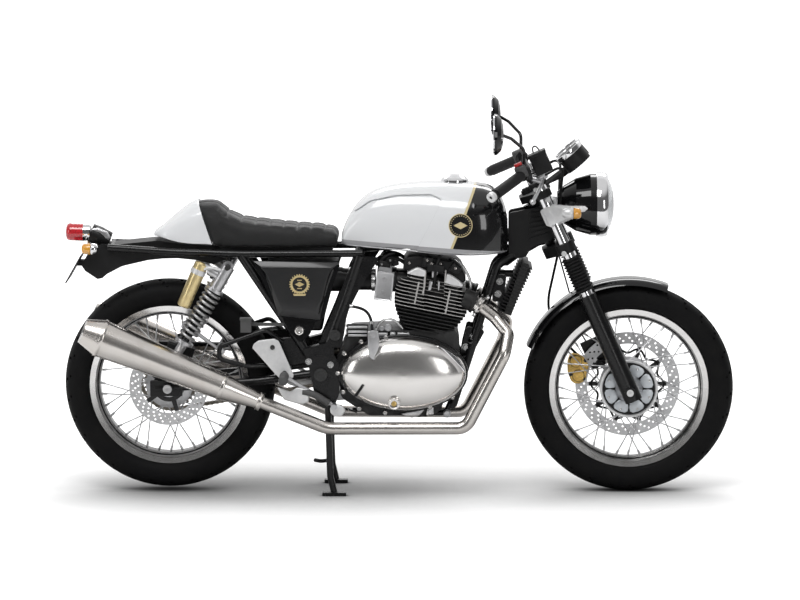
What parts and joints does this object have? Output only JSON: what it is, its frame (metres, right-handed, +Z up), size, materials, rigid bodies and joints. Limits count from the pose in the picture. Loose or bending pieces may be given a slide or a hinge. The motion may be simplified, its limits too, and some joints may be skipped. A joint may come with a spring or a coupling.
{
  "type": "cafe racer motorcycle",
  "caption": "Twin-cylinder cafe racer with spoked wheels, low bars, humped single seat, round lamp and upswept twin silencers, on its centre stand.",
  "frame": {"origin": "on the ground, midway between the two axles, in the middle plane", "axes": "+X forwards, +Y to the rider's left, +Z up"},
  "size_m": [2.0362, 0.7918, 1.182],
  "materials": {
    "amber_lens": "gloss",
    "black_alloy": "satin",
    "black_plastic": "satin",
    "case_alloy": "satin",
    "chain_steel": "oiled",
    "chrome": "polished",
    "disc_steel": "brushed",
    "engine_alloy": "polished",
    "fin_black": "satin",
    "frame_black": "gloss",
    "gloss_black_plastic": "gloss",
    "gold": "satin",
    "grip_rubber": "matt",
    "hub_alloy": "satin",
    "lamp_glass": "clear",
    "mirror_glass": "mirror",
    "red_lens": "gloss",
    "rim_alloy": "polished",
    "seat_cover": "matt",
    "spring_steel": "satin",
    "stainless": "satin",
    "tyre_rubber": "matt",
    "white_paint": "gloss",
    "white_shell": "gloss"
  },
  "bodies": {
    "chassis": {"frame": "frame_black", "swingarm": "frame_black", "shocks": "hub_alloy", "shock_springs": "spring_steel", "shock_reservoirs": "gold", "chain": "chain_steel", "fuel_tank": "white_paint", "fuel_cap": "chrome", "seat": "seat_cover", "seat_cowl": "white_shell", "rear_mudguard": "black_plastic", "tail_lamp_lens": "red_lens", "rear_indicators": "amber_lens", "number_plate": "black_plastic", "side_panels": "gloss_black_plastic", "airbox": "black_plastic", "crankcase": "case_alloy", "right_engine_cover": "engine_alloy", "left_engine_covers": "engine_alloy", "cylinder_barrel": "fin_black", "cylinder_head": "fin_black", "rocker_cover": "fin_black", "throttle_bodies": "hub_alloy", "oil_cooler": "fin_black", "headers": "stainless", "mufflers": "stainless", "footrests": "hub_alloy", "chain_guard": "black_plastic", "rear_caliper": "black_alloy", "brake_reservoir": "hub_alloy", "headstock_covers": "black_plastic"},
    "steering": {"fork_tubes": "chrome", "fork_gaiters": "grip_rubber", "fork_sliders": "black_alloy", "yokes": "black_alloy", "handlebars": "black_alloy", "grips": "grip_rubber", "hand_controls": "hub_alloy", "mirrors": "gloss_black_plastic", "mirror_glasses": "mirror_glass", "headlamp_bucket": "frame_black", "headlamp_ring": "chrome", "headlamp_lens": "lamp_glass", "headlamp_brackets": "hub_alloy", "front_indicators": "amber_lens", "gauges": "black_plastic", "front_mudguard": "gloss_black_plastic", "front_caliper": "gold", "hoses": "grip_rubber"},
    "front_wheel": {"front_tyre": "tyre_rubber", "front_rim": "rim_alloy", "front_hub": "hub_alloy", "front_disc": "disc_steel"},
    "rear_wheel": {"rear_tyre": "tyre_rubber", "rear_rim": "rim_alloy", "rear_hub": "hub_alloy", "rear_disc": "disc_steel", "rear_sprocket": "chain_steel"},
    "centre_stand": {"centre_stand": "frame_black"},
    "side_stand": {"side_stand": "frame_black"}
  },
  "joints": [
    {"name": "steering_turn", "type": "hinge", "parent": "chassis", "child": "steering", "pos_m": [0.66218, 0, 0.30221], "axis": [-0.4067, 0, 0.9135], "range_deg": [-32, 32]},
    {"name": "front_wheel_spin", "type": "hinge", "parent": "steering", "child": "front_wheel", "pos_m": [0.699, 0, 0.3186], "axis": [0, 1, 0], "continuous": true},
    {"name": "rear_wheel_spin", "type": "hinge", "parent": "chassis", "child": "rear_wheel", "pos_m": [-0.699, 0, 0.3296], "axis": [0, 1, 0], "continuous": true},
    {"name": "centre_stand_fold", "type": "hinge", "parent": "chassis", "child": "centre_stand", "pos_m": [-0.215, 0, 0.29], "axis": [0, 1, 0], "range_deg": [0, 88]},
    {"name": "side_stand_swing", "type": "hinge", "parent": "chassis", "child": "side_stand", "pos_m": [0.06, 0.112, 0.228], "axis": [0, -0.9404, -0.3401], "range_deg": [0, 100]}
  ]
}
